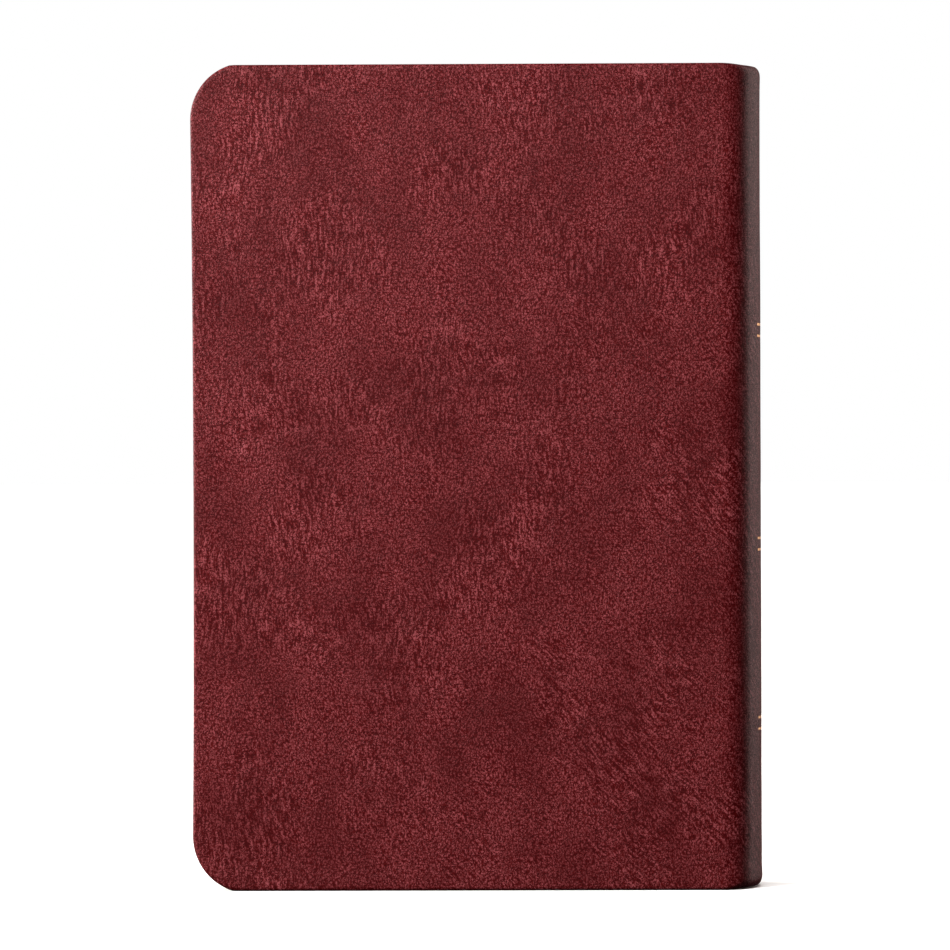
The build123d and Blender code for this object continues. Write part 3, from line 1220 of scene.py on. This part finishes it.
@dataclass
class TextBlock:
    """The leaves of the book: sewn signatures, loose leaves in the middle opening, and the flyleaves.

    Attributes:
        shape: shape of a leaf.
        outline: the case, whose spine the backs of the leaves follow.
        finishes: the book's finishes.
        leaves_shown: how many leaves of a signature part at the trimmed edges.
        set_back: how far a signature's outer leaves lie back, and how near its faces the leaves part.
        part: how far back every other leaf lies.
        flyleaf_bend: width of the curve in which a flyleaf turns; not used.
        leaf_bend: x where a centre leaf still follows the block, and x from where it follows its turn; not
            used.
    """

    shape: LeafOutline
    outline: CaseOutline
    finishes: Finishes
    signatures: int = 16
    centre_leaves: int = 5
    leaves_shown: int = 6
    set_back: float = 0.06 * MM
    part: float = 0.02 * MM
    flyleaf_bend: float = 14.0 * MM
    column_pitch: float = 2.5 * MM
    leaf_rows: int = 8
    leaf_bend: tuple[float, float] = (0.165, -0.03)

    def build_signature(self, number: int) -> bpy.types.Object:
        """Builds one folded signature, with its leaves shown along the trimmed edges.

        Args:
            number: its number, counted from the front cover.

        Returns:
            The piece.
        """
        node = f"signature_{number:02d}"
        low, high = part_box(node)
        middle_y, fold_r = (low.y + high.y) / 2, (high.y - low.y) / 2
        back_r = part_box("centre_leaf_1")[1].x - self.outline.spine_cx - fold_r
        fore_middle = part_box("centre_leaf_1")[0].x - back_r
        chance = random.Random(number)
        slack = chance.uniform(-0.04, 0.04) * MM
        fold_x = self.outline.spine_cx + math.sqrt(back_r**2 - middle_y**2)
        inner = self.leaf_levels(low.y, high.y, chance)
        levels = [(low.y, self.set_back), *inner, (high.y, self.set_back)]
        shell = Shell()
        rings = []
        for y, inset in levels:
            across = min(1.0, abs(y - middle_y) / fold_r)
            back = fold_x + fold_r * math.sqrt(max(0.0, 1 - across**2))
            # The hollow fore edge has the same curve as the rounded back.
            fore = fore_middle + math.sqrt(back_r**2 - y**2) + abs(slack)
            ring, path, before = [], 0.0, None
            for x, z in self.shape.ring(fore, max(back, fold_x), inset):
                path += math.dist((x, z), before) if before else 0.0
                before = (x, z)
                ring.append(shell.point((x, y, z), (path, y)))
            rings.append(ring)
        last = len(rings[0]) - 1
        for one, other in zip(rings, rings[1:]):
            for i in range(last):
                shell.face((one[i], one[i + 1], other[i + 1], other[i]), 1)
            shell.face((one[last], one[0], other[0], other[last]), 0)
        for ring in (rings[0], rings[-1]):
            shell.face(ring, 0, [(shell.points[p][0], shell.points[p][2]) for p in ring])
        made = shell.piece(f"{node}_folded", [self.finishes.page, self.finishes.gilt], crease=30)
        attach(made, Side.FRONT.block if number <= self.signatures // 2 else Side.BACK.block)
        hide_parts(node)
        return made

    def leaf_levels(self, low: float, high: float, chance: random.Random) -> list[tuple[float, float]]:
        """The heights across a signature at which its leaves part, with each one's set-back.

        Args:
            low: y of one face of the signature.
            high: y of the other.
            chance: the signature's own random source.

        Returns:
            Pairs of y and set-back.
        """
        pitch = (high - low) / self.leaves_shown / 2
        pairs = []
        for i, y in enumerate(spread(low + self.set_back, high - self.set_back, pitch)):
            pairs.append((y, (0.0 if i % 2 else self.part) + chance.uniform(0, 0.01) * MM))
        return pairs

    def build_loose(self, node: str, slot: str) -> bpy.types.Object:
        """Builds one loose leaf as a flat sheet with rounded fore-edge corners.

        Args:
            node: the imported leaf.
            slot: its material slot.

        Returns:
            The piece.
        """
        low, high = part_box(node)
        paper = self.finishes.endpaper if slot == "endpaper" else self.finishes.page
        shell = Shell()
        turns = [math.radians(angle) for angle in range(0, 91, 9)]
        rounding = [low.x + self.shape.corner_r * (1 - math.cos(turn)) for turn in turns]
        columns = rounding + spread(rounding[-1], high.x, self.column_pitch)[1:]
        rims = []
        for y in (low.y, high.y):
            grid = []
            for x in columns:
                top = self.shape.top(x, low.x)
                bottom = self.shape.low + self.shape.high - top
                rows = range(self.leaf_rows + 1)
                heights = [bottom + (top - bottom) * i / self.leaf_rows for i in rows]
                grid.append([shell.point((x, y, z), (x, z)) for z in heights])
            shell.loft(grid)
            edge = [line[0] for line in grid[::-1]] + grid[0][1:] + [line[-1] for line in grid[1:]]
            rim, path = [], 0.0
            for before, corner in zip([edge[0], *edge], edge):
                path += math.dist(shell.points[before], shell.points[corner])
                rim.append(shell.point(shell.points[corner], (path, y)))
            rims.append((rim, grid[-1]))
        (one, one_back), (other, other_back) = rims
        shell.bridge(one, other, finish_number=1)
        shell.bridge(one_back, other_back)
        made = shell.piece(f"{node}_sheet", [paper, self.finishes.gilt])
        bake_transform(made)
        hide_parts(node)
        return made

    def build(self) -> list[bpy.types.Object]:
        """Builds all leaves."""
        made = [self.build_signature(number) for number in range(1, self.signatures + 1)]
        for number in range(1, self.centre_leaves + 1):
            node = f"centre_leaf_{number}"
            made.append(self.build_loose(node, "book_paper"))
        for side in Side:
            node = f"{side.word}_flyleaf"
            made.append(self.build_loose(node, "endpaper"))
        return made


@dataclass
class EndpaperFolds:
    """The folds of the two endpapers, which line the joints between the boards and the leaves.

    Attributes:
        outline: the case seen from above.
        finishes: the book's finishes.
        lap: how far the strip lies on the pastedown.
        paper: its thickness.
        clear: how far past the pastedown's edge it starts to bend.
        sink: how deep it lies in the pastedown's face, and how far it lies off it in the joint.
        pitch: spacing of its creases.
        loop_out: how far past the pastedown's edge the loop begins, and past the flyleaf's edge it turns.
        tail: how far the strip reaches over the flyleaf.
        spare: how much wider the loop is than the gap between the two sheets.
    """

    outline: CaseOutline
    finishes: Finishes
    lap: float = 0.8 * MM
    paper: float = 0.12 * MM
    clear: float = 0.2 * MM
    sink: Place = (0.02 * MM, 0.03 * MM)
    pitch: float = 0.2 * MM
    loop_out: float = 0.5 * MM
    tail: float = 0.1 * MM
    spare: float = 0.1 * MM

    def build(self, side: Side) -> bpy.types.Object:
        """Builds one fold, a narrow strip of paper bent round on itself.

        Args:
            side: which endpaper.

        Returns:
            The piece.
        """
        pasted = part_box(f"{side.word}_pastedown")
        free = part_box(f"{side.word}_flyleaf")
        sign = side.value
        pasted_y = min(abs(pasted[0].y), abs(pasted[1].y))
        free_y = max(abs(free[0].y), abs(free[1].y))
        pasted_x, free_x = pasted[1].x, free[1].x
        gap = pasted_y - free_y
        bend_x = free_x + self.loop_out
        flat_y, joint_y = pasted_y - self.sink[0], pasted_y + self.sink[1]
        line = [(pasted_x - self.lap, flat_y), (pasted_x + self.clear, flat_y)]
        line += [(x, joint_y) for x in spread(pasted_x + self.loop_out, bend_x, self.pitch)]
        radius = (gap + self.spare) / 2
        centre_y = joint_y - radius
        for turn in (30, 60, 90, 120, 150, 180):
            angle = math.radians(turn)
            line.append((bend_x + radius * math.sin(angle), centre_y + radius * math.cos(angle)))
        line.append((free_x - self.tail, line[-1][1]))
        shell = Shell()
        low, high = free[0].z, free[1].z
        rows, path, before = [], 0.0, line[0]
        for i, (x, y) in enumerate(line):
            path += math.dist((x, y), before)
            before = (x, y)
            after, prior = line[min(i + 1, len(line) - 1)], line[max(i - 1, 0)]
            run = Vector((after[0] - prior[0], after[1] - prior[1])).normalized()
            dx, dy = run.y * self.paper / 2, -run.x * self.paper / 2
            corners = [(-1, low), (-1, high), (1, high), (1, low)]
            spots = [(x + way * dx, sign * (y + way * dy), z) for way, z in corners]
            rows.append([shell.point(spot, (path, spot[2])) for spot in spots])
        shell.tube(rows)
        made = shell.piece(f"{side.word}_endpaper_fold", [self.finishes.endpaper])
        y = sign * self.outline.half_t
        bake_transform(made)
        return made


@dataclass
class SpineBacking:
    """What is glued to the backs of the leaves: mull, lining, inlay and the two headbands.

    Attributes:
        outline: the case, whose spine all layers follow.
        finishes: the book's finishes.
        wind: spacing of a headband's windings.
        wind_depth: depth of the grooves between them.
        bead_r: radius of a headband.
        skirt: how far behind the leaves' backs a headband's skirt starts and ends.
        cloth_fold, card_fold: half the width of the fold at the opening, in cloth and in card.
        band_sine: sine of half the angle that a headband covers, where the book is thick enough.
        skirt_share: width of the skirt as a share of the headband's.
    """

    outline: CaseOutline
    finishes: Finishes
    wind: float = 0.45 * MM
    wind_depth: float = 0.06 * MM
    bead_r: float = 0.75 * MM
    skirt: Place = (0.05 * MM, 0.45 * MM)
    cloth_fold: float = 2.0 * MM
    card_fold: float = 5.0 * MM
    bead_corners: int = 16
    band_sine: float = 0.56
    skirt_share: float = 0.97

    def layer(
        self, node: str, name: str, material: bpy.types.Material, slot: str, fold: float
    ) -> bpy.types.Object:
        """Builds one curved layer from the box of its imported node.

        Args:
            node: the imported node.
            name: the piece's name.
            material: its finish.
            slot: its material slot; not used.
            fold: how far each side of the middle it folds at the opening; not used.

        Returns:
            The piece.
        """
        low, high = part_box(node)
        centre = self.outline.spine_cx
        outer = high.x - centre
        half = math.asin(high.y / outer)
        inner = (low.x - centre) / math.cos(half)
        shell = Shell()
        self.curved_sheet(shell, (inner, outer), half, (low.z, high.z))
        made = shell.piece(name, [material])
        bend_at_opening(made)
        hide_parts(node)
        return made

    def curved_sheet(self, shell: Shell, radii: Place, half: float, heights: Place) -> None:
        """Adds a closed curved sheet about the spine's centre line.

        Args:
            shell: the shell that gets it.
            radii: its inner and outer radius.
            half: half the angle that it covers.
            heights: its lowest and highest z.
        """
        inner, outer = radii
        corners = [(outer, heights[0]), (outer, heights[1]), (inner, heights[1]), (inner, heights[0])]
        rows = []
        for turn in spread(-half, half, math.radians(1.0)):
            row = []
            for radius, z in corners:
                x = self.outline.spine_cx + radius * math.cos(turn)
                row.append(shell.point((x, radius * math.sin(turn), z), (turn * outer, z)))
            rows.append(row)
        shell.tube(rows)

    def build_band(self, end: End) -> bpy.types.Object:
        """Builds a headband: silk wound round a core, with its skirt glued down the backs of the leaves.

        Args:
            end: at the head or the tail.

        Returns:
            The piece.
        """
        node = "headband" if end is End.HEAD else "tailband"
        low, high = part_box(node)
        centre = self.outline.spine_cx
        core_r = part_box("centre_leaf_1")[1].x - centre
        half = math.asin(min(high.y, core_r * self.band_sine) / core_r)
        core_z = high.z - self.bead_r if end is End.HEAD else low.z + self.bead_r
        shell = Shell()
        rings = []
        for turn in spread(-half, half, math.radians(0.2)):
            length = turn * core_r
            share = abs(math.sin(math.pi * length / self.wind))
            taper = ease(half - abs(turn), -0.01, 0.02)
            radius = (self.bead_r - self.wind_depth * (1 - share)) * (0.55 + 0.45 * taper)
            ring = []
            for step in range(self.bead_corners):
                angle = 2 * math.pi * step / self.bead_corners
                spot = core_r + radius * math.cos(angle)
                z = core_z + radius * math.sin(angle)
                xyz = (centre + spot * math.cos(turn), spot * math.sin(turn), z)
                ring.append(shell.point(xyz, (length, angle * self.bead_r)))
            rings.append(ring)
        shell.tube(rings)
        skirt = (core_r + self.skirt[0], core_r + self.skirt[1])
        foot = low.z if end is End.HEAD else high.z
        heights = (min(foot, core_z), max(foot, core_z))
        self.curved_sheet(shell, skirt, half * self.skirt_share, heights)
        made = shell.piece(f"{node}_silk_wound", [self.finishes.silk], crease=60)
        bend_at_opening(made)
        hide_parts(node)
        return made

    def build(self) -> list[bpy.types.Object]:
        """Builds all layers and both headbands."""
        inks, card = self.finishes, self.card_fold
        return [
            self.layer("mull", "mull_glued_cloth", inks.mull, "mull_cloth", self.cloth_fold),
            self.layer("spine_lining", "spine_lining_paper", inks.lining, "lining_paper", card),
            self.layer("spine_inlay", "spine_inlay_card", inks.board, "binders_board", card),
            *[self.build_band(end) for end in End],
        ]


@dataclass
class RigidParts:
    """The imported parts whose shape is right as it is; they only get their finish.

    Attributes:
        nodes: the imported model's objects by name.
        finishes: the book's finishes.
    """

    nodes: dict[str, bpy.types.Object]
    finishes: Finishes

    def dress(self) -> None:
        """Gives boards, pastedowns and sewing thread their finish."""
        coats = (
            (self.finishes.board_solid, ("back_board", "front_board")),
            (self.finishes.endpaper_solid, ("back_pastedown", "front_pastedown")),
            (self.finishes.thread_solid, ("sewing_thread_rear", "sewing_thread_front")),
        )
        for material, nodes in coats:
            for node in nodes:
                mesh = self.nodes[node].data
                mesh.materials.clear()
                mesh.materials.append(material)
                log.info("%s: %s", node, material.name)


# ---- the studio ----


@dataclass(frozen=True)
class SoftBox:
    """One soft light.

    Attributes:
        name: its name.
        place: where it stands.
        size: width and height.
        power: watts.
        colour: its colour.
    """

    name: str
    place: Point
    size: Place
    power: float
    colour: str = "#FFFFFF"


@dataclass
class Studio:
    """A pale floor, soft lights and the camera.

    Attributes:
        target: the point that lights and camera look at.
        distance: from the target to the camera.
        view_width: width of the view at the target.
        azimuth, elevation, roll: the camera's turn off a view square to the back cover.
        overhead: strength of the light on the floor.
        overhead_tilt: its tilt about x and y.
    """

    target: Point
    distance: float = 1.15
    view_width: float = 0.1896
    azimuth: float = math.radians(1.0)
    elevation: float = math.radians(0.3)
    roll: float = math.radians(-0.2)
    sensor: float = 36.0
    floor_half: float = 12.0
    floor_corners: int = 96
    overhead: float = 4.8
    overhead_spread: float = math.radians(70)
    overhead_tilt: Place = (math.radians(14), math.radians(-10))
    boxes: tuple[SoftBox, ...] = (
        SoftBox("key_upper_left", (-0.38, -0.5, 0.42), (0.24, 0.24), 6.2),
        SoftBox("fill_front_high", (0.0, -1.0, 1.3), (0.9, 0.9), 3.0),
        SoftBox("edge_left", (-1.1, 0.3, 0.25), (0.5, 0.9), 20.0),
        SoftBox("side_right", (0.76, 0.58, 0.3), (0.55, 0.9), 4.6, "#FFE6E1"),
    )

    def build_floor(self) -> bpy.types.Object:
        """Builds the floor, a wide disc with its edge far away."""
        shell = Shell()
        ring = []
        for step in range(self.floor_corners):
            angle = 2 * math.pi * step / self.floor_corners
            x, y = self.floor_half * math.cos(angle), self.floor_half * math.sin(angle)
            ring.append(shell.point((x, y, 0.0), (x, y)))
        shell.face(ring)
        made = shell.piece("studio_floor", [PaintedFloor().make()])
        made.visible_glossy = False
        made.visible_diffuse = False
        return made

    def build_floor_light(self, floor: bpy.types.Object) -> None:
        """Builds the overhead light that keeps the floor white out to its edge, and lights nothing else.

        Args:
            floor: the floor.
        """
        lamp = bpy.data.lights.new("overhead_floor", "SUN")
        lamp.energy = self.overhead
        lamp.angle = self.overhead_spread
        made = bpy.data.objects.new("overhead_floor", lamp)
        made.rotation_euler = (*self.overhead_tilt, 0.0)
        bpy.context.scene.collection.objects.link(made)
        lit = bpy.data.collections.new("lit_by_overhead")
        lit.objects.link(floor)
        made.light_linking.receiver_collection = lit

    def build_lights(self) -> None:
        """Builds the soft boxes, all turned to the book."""
        for box in self.boxes:
            lamp = bpy.data.lights.new(box.name, "AREA")
            lamp.shape = "RECTANGLE"
            lamp.size, lamp.size_y = box.size
            lamp.energy = box.power
            lamp.color = linear(box.colour)[:3]
            made = bpy.data.objects.new(box.name, lamp)
            made.location = box.place
            look = Vector(self.target) - Vector(box.place)
            made.rotation_mode = "QUATERNION"
            made.rotation_quaternion = look.to_track_quat("-Z", "Y")
            bpy.context.scene.collection.objects.link(made)

    def build_world(self) -> None:
        """Builds the room: white to the camera, and a dimmer even light on the book."""
        world = bpy.data.worlds.new("studio_room")
        world.use_nodes = True
        tree = world.node_tree
        tree.nodes.clear()
        seen = add(tree, "Background", {"Color": linear("#FFFFFF"), "Strength": 1.0})
        felt = add(tree, "Background", {"Color": linear("#F2F4F8"), "Strength": 0.03})
        camera = add(tree, "LightPath").outputs["Is Camera Ray"]
        mix = add(tree, "MixShader", {0: camera, 1: felt.outputs[0], 2: seen.outputs[0]})
        add(tree, "OutputWorld", {"Surface": mix.outputs[0]})
        bpy.context.scene.world = world

    def build_camera(self) -> bpy.types.Object:
        """Builds the camera, nearly square to the back cover."""
        lens = bpy.data.cameras.new("camera")
        lens.sensor_width = self.sensor
        lens.lens = self.sensor * self.distance / self.view_width
        made = bpy.data.objects.new("camera", lens)
        flat = math.cos(self.elevation)
        turn = (math.sin(self.azimuth) * flat, -math.cos(self.azimuth) * flat)
        back = Vector((*turn, math.sin(self.elevation)))
        made.location = Vector(self.target) + back * self.distance
        made.rotation_mode = "QUATERNION"
        made.rotation_quaternion = (-back).to_track_quat("-Z", "Y") @ Quaternion((0, 0, 1), self.roll)
        bpy.context.scene.collection.objects.link(made)
        bpy.context.scene.camera = made
        return made

    def build(self) -> None:
        """Builds the whole studio."""
        self.build_floor_light(self.build_floor())
        self.build_lights()
        self.build_world()
        self.build_camera()
        bpy.context.scene.view_settings.view_transform = "Standard"


def main() -> None:
    """Builds the prayer book in its studio."""
    logging.basicConfig(level=logging.INFO, format="%(message)s")
    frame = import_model()
    finishes = Finishes.make()

    cover_low, cover_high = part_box("back_cover_leather")
    spine_low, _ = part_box("spine_leather")
    board_end_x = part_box("back_board")[1].x
    leaf_low, leaf_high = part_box("centre_leaf_1")
    outline = CaseOutline(fore_x=cover_low.x, half_t=-cover_low.y, flat_end_x=spine_low.x)

    board_end = outline.distance(board_end_x)
    case = CaseLeather(outline, height=cover_high.z, board_end=board_end, finishes=finishes)
    for side in Side:
        case.build_cover(side)
    case.build_spine()
    TextBlock(LeafOutline(leaf_low.z, leaf_high.z), outline, finishes).build()
    folds = EndpaperFolds(outline, finishes)
    for side in Side:
        folds.build(side)
    SpineBacking(outline, finishes).build()
    RigidParts(frame["nodes"], finishes).dress()

    Studio(target=(-0.32 * MM, cover_low.y, cover_high.z / 2 + 0.47 * MM)).build()


if __name__ == "__main__":
    main()
